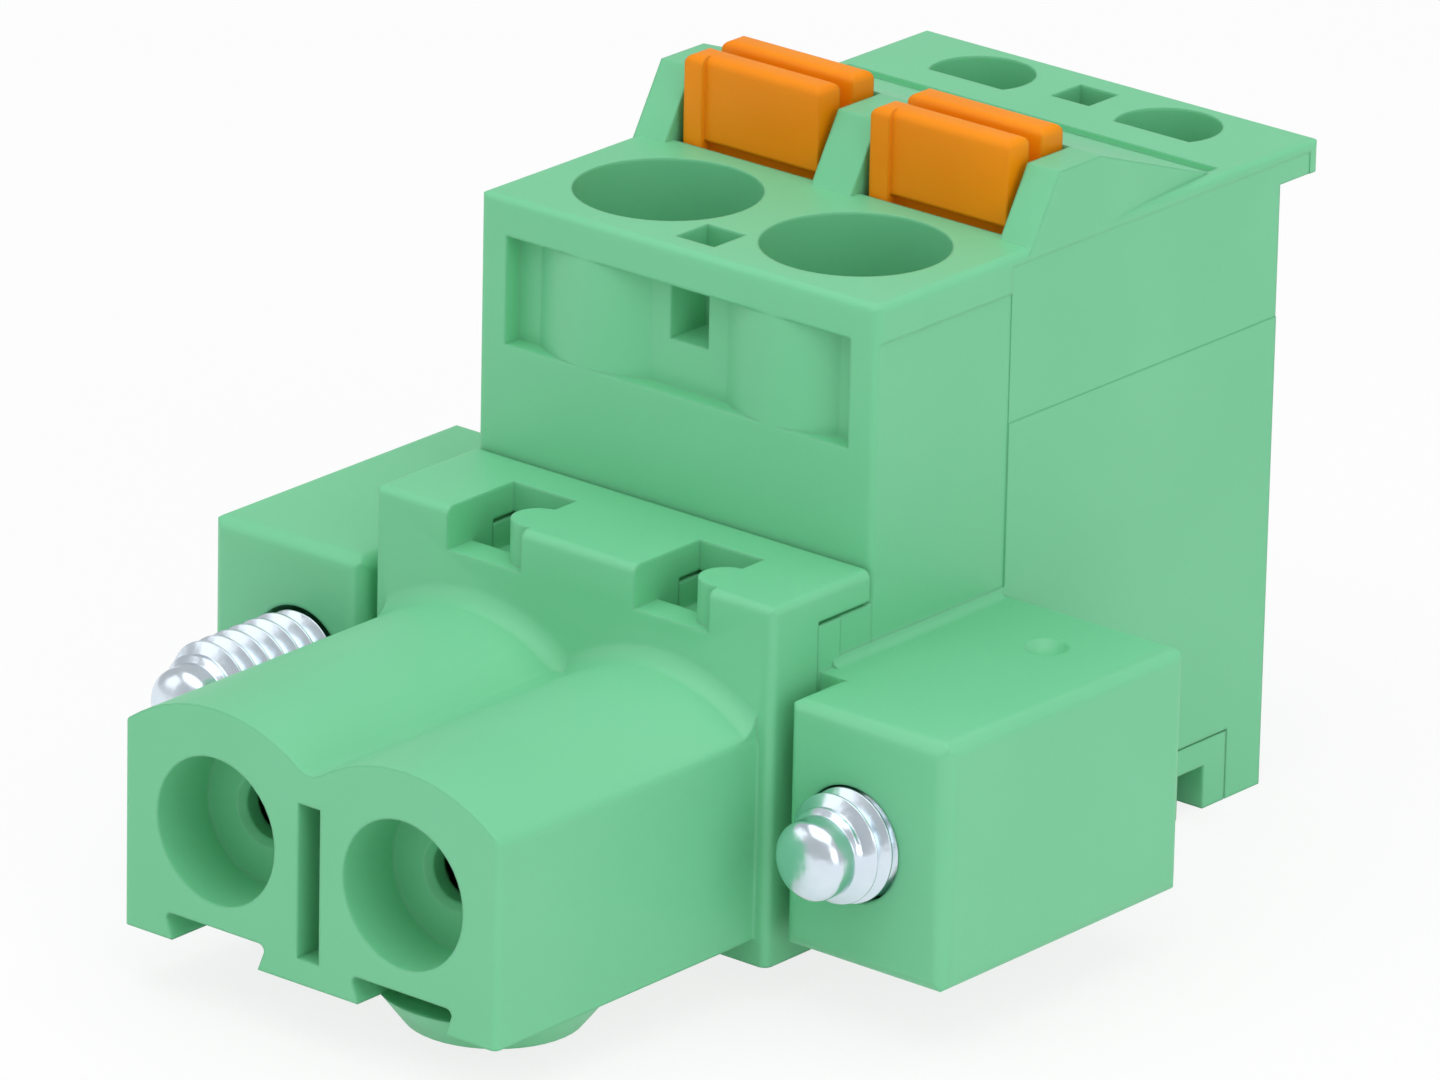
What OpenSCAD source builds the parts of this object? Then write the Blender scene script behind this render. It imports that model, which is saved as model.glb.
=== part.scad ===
// Pluggable terminal block: two push-in poles, a plug nose in front, a screw flange on each side.
// Heights are measured from the contact axis, depths from the plug face, widths from the middle
// plane. One placing translate at the end of the file puts the part on its standing plane.

/* [Poles] */
// Distance between the two poles
pitch = 5.08; // [5:0.04:5.24]
// Height of the contact axis above the standing plane
axis_height = 4.05; // [3.95:0.05:4.25]

/* [Plug nose] */
// Width of the nose
nose_width = 10.14; // [10.04:0.02:10.24]
// Length of the nose in front of the shoulder
nose_length = 8.13; // [7.8:0.05:8.4]
// Depth of the nose below the contact axis
nose_drop = 2.72; // [2.66:0.02:2.8]
// Height of each round crest above the contact axis
crest_height = 2.68; // [2.6:0.02:2.8]
// Radius of the crest over each pole
crest_radius = 4; // [3.8:0.1:4.4]
// Radius of the hollow between the two crests
valley_radius = 0.53; // [0.4:0.05:0.7]
// Radius on the outer top edges of the nose
nose_edge_radius = 0.35; // [0.2:0.05:0.5]
// Radius on the upright front edges of the nose
nose_corner_radius = 0.15; // [0.1:0.05:0.3]
// Radius that runs the crests into the shoulder
nose_root_radius = 0.6; // [0.4:0.05:0.8]
// Radius of the round mouth of each socket
mouth_radius = 1.61; // [1.5:0.01:1.7]
// Depth of the mouth
mouth_depth = 1.55; // [1.4:0.05:1.7]
// Radius of the hole for the contact pin
pin_hole_radius = 0.65; // [0.55:0.05:0.75]
// Wall between the mouth and the contact cavity
mouth_wall = 0.5; // [0.4:0.05:0.6]
// Width of the slit between the poles
slit_width = 0.6; // [0.5:0.05:0.7]
// Length of the slit
slit_length = 7; // [6:0.25:7.2]
// Width of a coding slot at its ceiling
coding_width = 2.7; // [2.5:0.05:2.8]
// Depth of a coding slot
coding_depth = 0.59; // [0.5:0.01:0.65]
// Length of a coding slot
coding_length = 6.5; // [5:0.25:7]
// Radius of the low round boss under one pole, where it leaves the nose
boss_radius = 2.48; // [2.3:0.02:2.5]
// Radius of the boss's flat end
boss_end_radius = 1.9; // [1.6:0.05:2.1]
// Height of the boss
boss_height = 0.75; // [0.6:0.05:0.9]
// Distance of the boss's centre from the plug face
boss_depth = 2.9; // [2.7:0.05:3.2]

/* [Shoulder] */
// Width of the shoulder behind the nose
shoulder_width = 10.84; // [10.78:0.02:10.92]
// Thickness of the shoulder
shoulder_length = 1.47; // [1.3:0.01:1.6]
// Height of the shoulder above the contact axis
shoulder_height = 4.64; // [4.5:0.02:4.8]
// Depth of the shoulder below the contact axis
shoulder_drop = 3.29; // [3.15:0.02:3.4]
// Thickness of the tab that reaches back from the shoulder's top
tab_thickness = 0.77; // [0.7:0.01:0.9]
// Gap below the tab and behind it
tab_gap = 0.1; // [0.06:0.01:0.14]
// Width of a latch notch in the shoulder's top
notch_width = 1.72; // [1.5:0.02:1.9]
// Length of a latch notch, front to back
notch_length = 2.12; // [1.9:0.02:2.3]
// Depth of a latch notch at its front lip
notch_depth = 0.94; // [0.86:0.02:1.1]
// Radius of the round nub beside each notch
nub_radius = 0.6; // [0.5:0.05:0.7]
// Radius on the shoulder's top and upright edges
shoulder_edge_radius = 0.2; // [0.1:0.05:0.3]

/* [Housing] */
// Width of the tall housing
housing_width = 10.8; // [10.74:0.02:10.88]
// Distance of the tall front wall from the plug face
front_wall = 11.35; // [11.25:0.05:11.55]
// Distance of the rear wall from the plug face
rear_wall = 24.85; // [24.75:0.05:25.05]
// Height of the wire deck above the contact axis
deck_height = 10.35; // [10.2:0.05:10.6]
// Radius on the edges of the wire deck
deck_edge_radius = 0.2; // [0.1:0.05:0.4]
// Height of the ridge that guards the buttons
ridge_height = 11.82; // [11.7:0.02:12]
// Start of the ridge's front slope
slope_start = 16.35; // [16.25:0.05:16.45]
// Length of the ridge's front slope
slope_length = 0.85; // [0.7:0.05:1]
// Length of the ridge's flat top
ridge_length = 1.4; // [1.35:0.05:1.6]
// Length of the long decline behind the ridge
decline_length = 4.48; // [4.2:0.05:4.7]
// Height of the small step between the decline's toe and the rear of the deck
decline_step = 0.15; // [0.1:0.01:0.2]
// How far the ridge's flanks turn in towards the rear
flank_inset = 0.32; // [0.25:0.01:0.5]
// Overhang of the rear lip past the rear wall
lip_overhang = 1.34; // [1.24:0.02:1.42]
// Thickness of the rear lip
lip_thickness = 0.74; // [0.65:0.02:0.85]
// Distance of the wire funnels from the plug face
funnel_depth = 14.07; // [14:0.01:14.12]
// Radius of a wire funnel
funnel_radius = 2.02; // [1.95:0.01:2.05]
// Straight length of a wire funnel
funnel_length = 1.9; // [1.6:0.1:2.1]
// Radius of the wire bore below the funnel
wire_bore_radius = 1.5; // [1.3:0.05:1.6]
// Side of the small square pocket between the funnels
pocket_side = 1.03; // [0.9:0.01:1.1]
// Distance of the small square pocket from the plug face
pocket_depth = 12.43; // [12.4:0.01:12.5]
// Radius of the round wall left around each funnel by the front recess
recess_wall_radius = 2.72; // [2.66:0.01:2.75]
// Depth of the front recess
recess_depth = 0.45; // [0.35:0.05:0.5]
// Width of the front recess
recess_width = 9.3; // [9:0.1:9.6]
// Height of the front recess's lower edge
recess_bottom = 7.1; // [6.8:0.1:7.4]
// Height of the front recess's upper edge
recess_top = 9.5; // [9.45:0.01:9.6]
// Height of the window's lower edge in the front recess
window_bottom = 8.13; // [8:0.01:8.3]
// Height of the window's upper edge
window_top = 9.4; // [9.2:0.05:9.4]
// Radius of a test hole in the rear lip
test_hole_radius = 1.17; // [1.05:0.01:1.17]
// Distance of a test hole's centre behind the front of its flat
test_hole_offset = 0.58; // [0.5:0.01:0.65]
// Wall around a test hole under the lip
test_hole_wall = 0.32; // [0.25:0.01:0.34]
// Depth of the test holes and the small rear pocket
test_hole_depth = 2; // [1.5:0.1:2.5]
// Height of the mould step on the side walls
side_step = 0.04; // [0.03:0.01:0.06]

/* [Clamp chamber] */
// Thickness of the wall between the two chambers
chamber_wall = 0.8; // [0.7:0.05:0.9]
// Height of the chamber's ceiling above the contact axis
chamber_height = 6; // [5.8:0.1:6.2]
// Front of the chamber, from the plug face
chamber_front = 12.3; // [12.2:0.05:12.4]
// Length of the chamber
chamber_length = 9.2; // [9:0.1:9.6]
// Thickness of the current bar
bar_thickness = 0.6; // [0.5:0.05:0.7]
// Width of the current bar
bar_width = 3.2; // [2.8:0.1:3.4]
// Thickness of the clamp spring's strip
spring_thickness = 0.35; // [0.3:0.05:0.4]
// Width of the clamp spring's strip
spring_width = 3; // [2.6:0.1:3.2]
// Radius of the clamp spring's bend, at the middle of the strip
spring_bend_radius = 1; // [0.9:0.05:1.1]
// Slope of the clamping leg
spring_slope = 25; // [22:1:28]

/* [Base cover] */
// Thickness of the base cover
cover_thickness = 1.58; // [1.5:0.02:1.7]
// Length of the base cover
cover_length = 12.25; // [12.2:0.05:12.4]
// Height of the pads that carry the current bars
cover_pad_height = 0.5; // [0.4:0.05:0.6]
// Length of the notch across the cover's underside
cover_notch_length = 0.9; // [0.8:0.05:1]
// Length of the cover's foot behind the notch
cover_foot_length = 0.75; // [0.7:0.05:0.9]
// Depth of the notch
cover_notch_depth = 1; // [0.85:0.05:1.05]

/* [Buttons] */
// Width of a button
button_width = 3.6; // [3.4:0.05:3.65]
// Thickness of each of a button's two blades
blade_thickness = 0.7; // [0.6:0.05:0.75]
// Gap between the two blades
blade_gap = 0.42; // [0.4:0.02:0.5]
// Height of the buttons' tops above the contact axis
button_height = 12.3; // [12.2:0.05:12.5]
// Depth of the gap between the blades
blade_length = 2.4; // [2:0.1:2.8]
// Front of the buttons' blades, from the plug face
button_front = 16.8; // [16.76:0.02:16.86]
// Radius on the top edges of the buttons
button_edge_radius = 0.2; // [0.1:0.05:0.25]
// Width of the guide rib on the left side of a button's front
rib_width = 0.5; // [0.4:0.05:0.6]
// How far the guide rib stands proud
rib_height = 0.1; // [0.08:0.01:0.15]
// Height of the recess along the foot of a button's front, above the deck
button_recess_height = 0.1; // [0.1:0.05:0.3]
// Depth of that recess
button_recess_depth = 0.15; // [0.1:0.05:0.3]

/* [Contacts] */
// Thickness of the socket contact's sheet
contact_thickness = 0.25; // [0.2:0.05:0.3]
// Width of the socket contact
contact_width = 2; // [1.8:0.05:2.1]
// Width of the pinch between the contact's arms
contact_pinch = 0.7; // [0.6:0.05:0.8]
// Thickness of the steel over-spring
over_spring_thickness = 0.15; // [0.1:0.05:0.15]

/* [Flanges] */
// Distance between the two flange screws
screw_spacing = 15.1; // [15.06:0.02:15.2]
// Overall width across both flanges
flange_span = 20.1; // [20.06:0.02:20.36]
// Front face of the flanges, from the plug face
flange_front = 8.16; // [8.14:0.01:8.36]
// Length of the flanges
flange_length = 7.92; // [7.7:0.02:8.1]
// Height of the flanges above the contact axis
flange_height = 2.83; // [2.77:0.02:2.93]
// Depth of the flanges below the contact axis
flange_drop = 2.67; // [2.61:0.01:2.75]
// Radius on the flanges' edges
flange_edge_radius = 0.4; // [0.3:0.02:0.5]
// Radius between a flange's top and the housing's side
flange_fillet_radius = 0.2; // [0.1:0.05:0.3]
// Gap between a flange and the shoulder
flange_gap = 0.36; // [0.3:0.02:0.42]
// Distance of the dimple on a flange's top from the flange's front
dimple_depth = 5.85; // [5.6:0.05:6.2]
// Radius of the dimple at the flange's top
dimple_radius = 0.48; // [0.4:0.02:0.55]

/* [Screws] */
// Height of the screws above the contact axis
screw_height = 0.08; // [0:0.01:0.12]
// Thread diameter of a flange screw
thread_diameter = 2.42; // [2.38:0.02:2.5]
// Length of a screw under its head
screw_length = 7.75; // [7.4:0.05:8]
// Diameter of a screw's dog point
point_diameter = 1.72; // [1.6:0.02:1.8]
// Length of the dog point's straight part
point_length = 0.37; // [0.3:0.01:0.45]
// Length of the dog point's round end
point_dome = 0.45; // [0.4:0.01:0.5]
// Length of the thread, between its two chamfers
thread_length = 2.76; // [2.6:0.02:2.76]
// Diameter of the shank behind the thread, which lets the captive screw float
shank_diameter = 1.9; // [1.8:0.02:1.94]
// Diameter of a screw's head
head_diameter = 3.8; // [3.6:0.05:3.9]
// Length of a screw's head
head_length = 2.2; // [1.9:0.05:2.4]
// Width of the driver slot
driver_slot_width = 0.6; // [0.5:0.05:0.7]
// Depth of the driver slot
driver_slot_depth = 0.8; // [0.6:0.05:1]
// Seat of the screw heads, from the plug face
head_seat = 11.9; // [11.8:0.05:12]
// How far a screw can float back from its seat; the second screw hangs there
screw_float = 2.3; // [2:0.1:2.4]
// Radial clearance of a screw in its hole
screw_clearance = 0.05; // [0.04:0.01:0.06]

/* [Fits] */
// Gap left at the seams between fixed mouldings
seam = 0.04; // [0.03:0.01:0.05]
// Gap between a button's front and rear faces and its shaft
button_clearance = 0.08; // [0.06:0.01:0.1]
// Gap between a button's side and its shaft
button_side_clearance = 0.2; // [0.1:0.01:0.2]
// Gap between metal parts and what they lie in
metal_clearance = 0.05; // [0.04:0.01:0.08]

/* [Hidden] */

green = [0.40, 0.75, 0.55];
orange = [0.93, 0.52, 0.08];
copper = [0.72, 0.45, 0.26];
spring_steel = [0.62, 0.63, 0.64];
zinc = [0.78, 0.81, 0.86];

$fn = 48;
past = 1;                                   // how far a cutter runs past a face

left = -1;
right = 1;
pole_x = pitch / 2;
total_length = rear_wall + lip_overhang;

shoulder_rear = nose_length + shoulder_length;
tab_bottom = shoulder_height - tab_thickness;
crest_center = crest_height - crest_radius;
cavity_half_width = 1.5;
cavity_half_height = 1.6;
cavity_front = mouth_depth + mouth_wall;
spigot_wall = 0.35;
spigot_rear = front_wall - 0.1;
notch_half = notch_width / 2;
notch_step = 0.3;                           // how much wider a notch is in front of its nub
nub_shift = 0.09;                           // how far the nub's centre lies beyond the notch's side
nub_setback = 0.22;                         // how far the nub stands back from the shoulder's face

slope_end = slope_start + slope_length;
ridge_end = slope_end + ridge_length;
decline_end = ridge_end + decline_length;
ridge_root = deck_height - 2 * deck_edge_radius;
lip_bottom = deck_height - lip_thickness;
funnel_bottom = deck_height - funnel_length;
cone_length = 1;
test_hole_inset = 0.85;
test_hole_y = rear_wall - test_hole_inset + test_hole_offset;
test_hole_flat = test_hole_y - test_hole_offset;
rear_pocket_y = rear_wall + 0.08;
step_line_inset = 0.34;
step_line_y = funnel_depth + funnel_radius - step_line_inset;
step_line_top = deck_height - 0.83;
step_line_mid = chamber_height + 0.65;

button_length = 2 * blade_thickness + blade_gap;
button_rear = button_front + button_length;
shaft_front = button_front - rib_height - button_clearance;
shaft_rear = button_rear + button_clearance;
shaft_half_width = button_width / 2 + button_side_clearance;
collar_top = chamber_height - seam;
collar_height = 0.6;
collar_lap = 0.1;                           // how far the stop collar reaches under the ceiling
foot_clearance = 0.1;                       // between a button's foot and the spring's leg
collar_width = button_width + 2 * (button_side_clearance + collar_lap);

chamber_rear = chamber_front + chamber_length;
chamber_half_width = pole_x - chamber_wall / 2;
cover_front = front_wall + seam;
cover_rear = front_wall + cover_length + 0.05 - seam;
cover_top = cover_thickness - axis_height;  // below the contact axis, so negative
pad_top = cover_top + cover_pad_height;

bar_front = chamber_front + 0.15;
bar_rear = chamber_rear - 0.1;
bar_bottom = pad_top;
bar_top = chamber_height - 0.8;
bar_rear_top = 3.2;
tongue_front = 8.9;
tongue_width = 1.9;

spring_rear = bar_rear - bar_thickness - metal_clearance;
spring_bend_y = spring_rear - spring_thickness / 2 - spring_bend_radius;
spring_bend_z = 2.8;
spring_foot_z = bar_bottom + bar_thickness + metal_clearance;
leg_angle = 90 + spring_slope;
leg_start = [spring_bend_y + spring_bend_radius * cos(leg_angle),
             spring_bend_z + spring_bend_radius * sin(leg_angle)];
leg_end_y = bar_front + bar_thickness + metal_clearance + spring_thickness / 2;
leg_end_z = leg_start[1] - (leg_start[0] - leg_end_y) * tan(spring_slope);

contact_bottom = -1.4;
contact_top = 1.1;
contact_rear = spigot_rear - 0.4;
fork_start = 5.5;                           // where the contact's arms leave its straight box
fork_pinch = cavity_front + 1.2;
box_rear = 8.5;

flange_outer = flange_span / 2;
flange_inner = shoulder_width / 2 + flange_gap;
flange_rear = flange_front + flange_length;
flange_join = shoulder_rear + 0.1;
dimple_x = (flange_inner + flange_outer) / 2;
screw_x = screw_spacing / 2;
screw_hole_radius = thread_diameter / 2 + screw_clearance;
collar_hole_radius = shank_diameter / 2 + screw_clearance;
head_bore_radius = head_diameter / 2 + screw_clearance;
thread_start = point_dome + point_length + (thread_diameter - point_diameter) / 2;
thread_end = thread_start + thread_length;
shank_start = thread_end + (thread_diameter - shank_diameter) / 2;
screw_tip = head_seat - screw_length;
captive_collar_y = screw_tip + shank_start + screw_float;

// Points of an arc about c from angle a0 to angle a1.
function arc(c, r, a0, a1, steps = 8) =
    [for (i = [0 : steps]) let (a = a0 + (a1 - a0) * i / steps) c + r * [cos(a), sin(a)]];

// Adds the mirror image of an outline's right half, whose last point lies on the middle line.
function with_mirror(half) =
    concat(half, [for (i = [len(half) - 2 : -1 : 0]) [-half[i][0], half[i][1]]]);

// Extrudes a width-and-height outline from depth y0 to depth y1.
module along_y(y0, y1) {
    translate([0, y1, 0]) rotate([90, 0, 0]) linear_extrude(y1 - y0) children();
}

// Extrudes a depth-and-height outline from width x0 to width x1.
module along_x(x0, x1) {
    translate([x0, 0, 0]) rotate([90, 0, 90]) linear_extrude(x1 - x0) children();
}

// Extrudes a plan outline from height z0 to height z1.
module along_z(z0, z1) {
    translate([0, 0, z0]) linear_extrude(z1 - z0) children();
}

module box(x0, x1, y0, y1, z0, z1) {
    translate([x0, y0, z0]) cube([x1 - x0, y1 - y0, z1 - z0]);
}

// A round rod of radius r along the depth.
module rod_y(x, z, r, y0, y1) {
    translate([x, y0, z]) rotate([-90, 0, 0]) cylinder(r = r, h = y1 - y0);
}

module at_poles() {
    for (side = [left, right]) translate([side * pole_x, 0, 0]) children();
}

// A rectangle with round corners, built so that its corners stay true arcs.
module round_rect(x0, x1, y0, y1, r) {
    translate([x0 + r, y0]) square([x1 - x0 - 2 * r, y1 - y0]);
    translate([x0, y0 + r]) square([x1 - x0, y1 - y0 - 2 * r]);
    for (x = [x0 + r, x1 - r], y = [y0 + r, y1 - r]) translate([x, y]) circle(r);
}

// A box whose edges are all rounded, cut from three round-cornered prisms.
module soft_box(x0, x1, y0, y1, z0, z1, r) {
    intersection() {
        along_z(z0, z1) round_rect(x0, x1, y0, y1, r);
        along_y(y0, y1) round_rect(x0, x1, z0, z1, r);
        along_x(x0, x1) round_rect(y0, y1, z0, z1, r);
    }
}

// ---------------------------------------------------------------- plug housing

// Section of the nose: flat below, one crest over each pole, a hollow between the crests.
module nose_outline() {
    edge_x = nose_width / 2 - nose_edge_radius;
    edge_z = crest_center + sqrt(pow(crest_radius - nose_edge_radius, 2) - pow(edge_x - pole_x, 2));
    valley_z = crest_center + sqrt(pow(crest_radius + valley_radius, 2) - pow(pole_x, 2));
    edge_angle = atan2(edge_z - crest_center, edge_x - pole_x);
    valley_angle = 180 - atan2(valley_z - crest_center, pole_x);
    polygon(with_mirror(concat(
        [[nose_width / 2, -nose_drop]],
        arc([edge_x, edge_z], nose_edge_radius, 0, edge_angle, 5),
        arc([pole_x, crest_center], crest_radius, edge_angle, valley_angle, 14),
        arc([0, valley_z], valley_radius, valley_angle - 180, -90, 4))));
}

// The crests run into the shoulder with a hollow radius, and so do the nose's sides. Each hollow
// bites a little into the faces that it joins, so that it meets them in a clean edge.
module nose_roots() {
    bite = 0.03;
    r = nose_root_radius;
    intersection() {
        at_poles() translate([0, nose_length, crest_center]) rotate([90, 0, 0])
            rotate_extrude() difference() {
                translate([crest_radius - r, -seam]) square([2 * r - bite, r + seam - bite]);
                translate([crest_radius + r - bite, r - bite]) circle(r);
            }
        box(-nose_width / 2 + bite, nose_width / 2 - bite, 0, shoulder_rear, 0, shoulder_height);
    }
    side_radius = (shoulder_width - nose_width) / 2 - shoulder_edge_radius;
    for (side = [left, right]) mirror([side == left ? 1 : 0, 0, 0])
        difference() {
            box(nose_width / 2 - side_radius, nose_width / 2 + side_radius - bite,
                nose_length - side_radius + bite, nose_length + seam,
                bite - nose_drop, crest_height - 1);
            translate([nose_width / 2 + side_radius - bite, nose_length - side_radius + bite,
                       -nose_drop - past])
                cylinder(r = side_radius, h = nose_drop + crest_height + 2 * past);
        }
}

// The nose, its upright front edges rounded.
module nose() {
    intersection() {
        along_y(0, nose_length + seam) nose_outline();
        along_z(-nose_drop - past, crest_height + past)
            round_rect(-nose_width / 2, nose_width / 2, 0, nose_length + past, nose_corner_radius);
    }
}

// The shoulder and the tab that reaches back from its top, seen from the side.
module shoulder_outline() {
    polygon(concat(
        [[nose_length, -shoulder_drop], [shoulder_rear, -shoulder_drop],
         [shoulder_rear, tab_bottom + tab_gap], [front_wall - tab_gap, tab_bottom + tab_gap],
         [front_wall - tab_gap, shoulder_height]],
        arc([nose_length + shoulder_edge_radius, shoulder_height - shoulder_edge_radius],
            shoulder_edge_radius, 90, 180, 6)));
}

module shoulder() {
    half = shoulder_width / 2;
    r = shoulder_edge_radius;
    intersection() {
        along_x(-half, half) shoulder_outline();
        along_y(nose_length, front_wall)
            round_rect(-half, half, -2 * shoulder_drop, shoulder_height, r);
        along_z(-shoulder_drop - past, shoulder_height + past)
            round_rect(-half, half, nose_length, front_wall + past, r);
    }
}

// A latch notch in the shoulder's top, with a round nub standing in its front right corner.
module latch_notch(bottom_front, bottom_rear) {
    nub_x = notch_half + nub_shift;
    nub_y = nose_length + nub_radius + nub_setback;
    difference() {
        union() {
            box(-notch_half, notch_half + notch_step, nose_length - past, nub_y,
                bottom_front, shoulder_height + past);
            box(-notch_half, notch_half, nub_y - seam, nose_length + notch_length,
                bottom_rear, shoulder_height + past);
        }
        translate([nub_x, nub_y, bottom_rear - past])
            cylinder(r = nub_radius, h = shoulder_height - bottom_rear + 3 * past);
    }
}

// A coding slot: a dovetail that opens through the nose's underside.
module coding_slot() {
    half = coding_width / 2;
    mouth_half = half - 0.17;
    corner = 0.15;
    along_y(-past, coding_length) polygon(concat(
        [[-mouth_half, -nose_drop - past], [mouth_half, -nose_drop - past],
         [mouth_half, -nose_drop]],
        arc([half - corner, coding_depth - nose_drop - corner], corner, 0, 90, 3),
        arc([-half + corner, coding_depth - nose_drop - corner], corner, 90, 180, 3),
        [[-mouth_half, -nose_drop]]));
}

// One pole's way in: a round mouth, a chamfered pin hole and the cavity for the contact.
module pole_cavity() {
    rod_y(0, 0, mouth_radius, -past, mouth_depth);
    rod_y(0, 0, pin_hole_radius, mouth_depth - seam, cavity_front + seam);
    chamfer = 0.15;
    translate([0, mouth_depth, 0]) rotate([-90, 0, 0])
        cylinder(r1 = pin_hole_radius + chamfer, r2 = pin_hole_radius, h = chamfer);
    box(-cavity_half_width, cavity_half_width, cavity_front, spigot_rear + past,
        -cavity_half_height, cavity_half_height);
}

// The low round boss under one pole, a cone with a flat end.
module pole_boss() {
    translate([pole_x, boss_depth, -nose_drop - boss_height])
        cylinder(r1 = boss_end_radius, r2 = boss_radius, h = boss_height);
}

module plug_housing() {
    spigot_half_width = cavity_half_width + spigot_wall;
    spigot_half_height = cavity_half_height + spigot_wall;
    color(green) {
        difference() {
            union() {
                nose();
                nose_roots();
                shoulder();
                at_poles() box(-spigot_half_width, spigot_half_width, shoulder_rear - past,
                               spigot_rear, -spigot_half_height, spigot_half_height);
            }
            at_poles() {
                pole_cavity();
                coding_slot();
                latch_notch(shoulder_height - notch_depth, shoulder_height - 2 * notch_depth);
            }
            box(-slit_width / 2, slit_width / 2, -past, slit_length,
                coding_depth - nose_drop - seam, crest_height - 1.44);
        }
        pole_boss();
    }
}

// ---------------------------------------------------------------- main housing

// Side view of the housing up to the wire deck, with the lip at the rear.
module deck_outline() {
    r = deck_edge_radius;
    polygon([[front_wall, -axis_height], [rear_wall, -axis_height], [rear_wall, lip_bottom],
             [total_length, lip_bottom], [total_length, deck_height - r],
             [total_length - r, deck_height], [front_wall + r, deck_height],
             [front_wall, deck_height - r]]);
    for (y = [front_wall + r, total_length - r]) translate([y, deck_height - r]) circle(r);
}

// The tall block with its lip. A shallow pocket in its top holds the toe of the ridge's decline.
module deck_block() {
    half = housing_width / 2;
    r = deck_edge_radius;
    pocket_half = half - flank_inset - seam;
    difference() {
        intersection() {
            along_x(-half, half) deck_outline();
            along_y(front_wall, total_length)
                round_rect(-half, half, -2 * axis_height, deck_height, r);
            along_z(-axis_height - past, deck_height + past)
                round_rect(-half, half, front_wall, total_length, r);
        }
        box(-pocket_half, pocket_half, ridge_end, decline_end,
            ridge_root + seam, deck_height + past);
    }
}

// The ridge around the buttons: a steep front, a flat top and a long decline, flanks turned in.
module ridge() {
    half = housing_width / 2;
    toe = deck_height - decline_step;
    run_in = (deck_height - ridge_root) * slope_length / (ridge_height - deck_height);
    run_out = (toe - ridge_root) * decline_length / (ridge_height - toe);
    difference() {
        along_x(-half, half)
            polygon([[slope_start - run_in, ridge_root], [decline_end + run_out, ridge_root],
                     [ridge_end, ridge_height], [slope_end, ridge_height]]);
        for (side = [left, right]) mirror([side == left ? 1 : 0, 0, 0])
            along_z(ridge_root - past, ridge_height + past)
                polygon([[half, ridge_end], [half + past, ridge_end],
                         [half + past, total_length], [half - flank_inset, total_length],
                         [half - flank_inset, decline_end]]);
        at_poles() box(-shaft_half_width, shaft_half_width, slope_start - past, shaft_rear,
                       ridge_root - past, ridge_height + past);
    }
}

// The low front part of the housing that the plug's shoulder closes against.
module front_step() {
    box(-housing_width / 2, housing_width / 2, shoulder_rear, front_wall + seam,
        -shoulder_drop, tab_bottom);
}

// One flange, with the fillet that runs its top into the housing's side.
module flange() {
    half = housing_width / 2;
    r = flange_edge_radius;
    fillet = flange_fillet_radius;
    soft_box(flange_inner, flange_outer, flange_front, flange_rear, -flange_drop, flange_height, r);
    intersection() {
        box(half - seam, screw_x, flange_join, flange_rear, -flange_drop, flange_height);
        soft_box(0, flange_outer, flange_front, flange_rear, -flange_drop, flange_height, r);
    }
    difference() {
        box(half - seam, half + fillet, flange_join + r, flange_rear - r,
            flange_height - seam, flange_height + fillet);
        rod_y(half + fillet, flange_height + fillet, fillet, flange_front, flange_rear);
    }
}

// The screw's way through a flange: the thread's hole, the narrow collar that keeps the screw
// captive, and the head's counterbore. A shallow dimple marks the flange's top.
module flange_cuts() {
    z = screw_height;
    rod_y(screw_x, z, screw_hole_radius, flange_front - past, captive_collar_y);
    rod_y(screw_x, z, collar_hole_radius, captive_collar_y - seam, head_seat + seam);
    rod_y(screw_x, z, head_bore_radius, head_seat, flange_rear + past);
    ball = 1.25 * dimple_radius;
    translate([dimple_x, flange_front + dimple_depth,
               flange_height + sqrt(pow(ball, 2) - pow(dimple_radius, 2))])
        sphere(ball);
}

// The bosses under the rear lip that hold the test holes and the small rear pocket.
module lip_bosses() {
    top = lip_bottom + seam;
    bottom = deck_height - test_hole_depth - test_hole_wall;
    at_poles() along_z(bottom, top) intersection() {
        translate([0, test_hole_y]) circle(test_hole_radius + test_hole_wall);
        translate([-pole_x, rear_wall - seam]) square([2 * pole_x, total_length]);
    }
    box(-pocket_side / 2 - test_hole_wall, pocket_side / 2 + test_hole_wall, rear_wall - seam,
        rear_pocket_y + pocket_side / 2 + test_hole_wall, bottom, top);
}

// Holes of one pole in the wire deck: funnel, cone and wire bore, button shaft, test hole.
module deck_holes() {
    translate([0, funnel_depth, 0]) {
        translate([0, 0, funnel_bottom]) cylinder(r = funnel_radius, h = funnel_length + past);
        translate([0, 0, funnel_bottom - cone_length])
            cylinder(r1 = wire_bore_radius, r2 = funnel_radius, h = cone_length);
        translate([0, 0, chamber_height - seam])
            cylinder(r = wire_bore_radius, h = funnel_bottom - chamber_height);
    }
    box(-shaft_half_width, shaft_half_width, shaft_front, shaft_rear, chamber_height - seam,
        ridge_height + past);
    along_z(deck_height - test_hole_depth, deck_height + past) intersection() {
        translate([0, test_hole_y]) circle(test_hole_radius);
        translate([-pole_x, test_hole_flat]) square([2 * pole_x, total_length]);
    }
}

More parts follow.
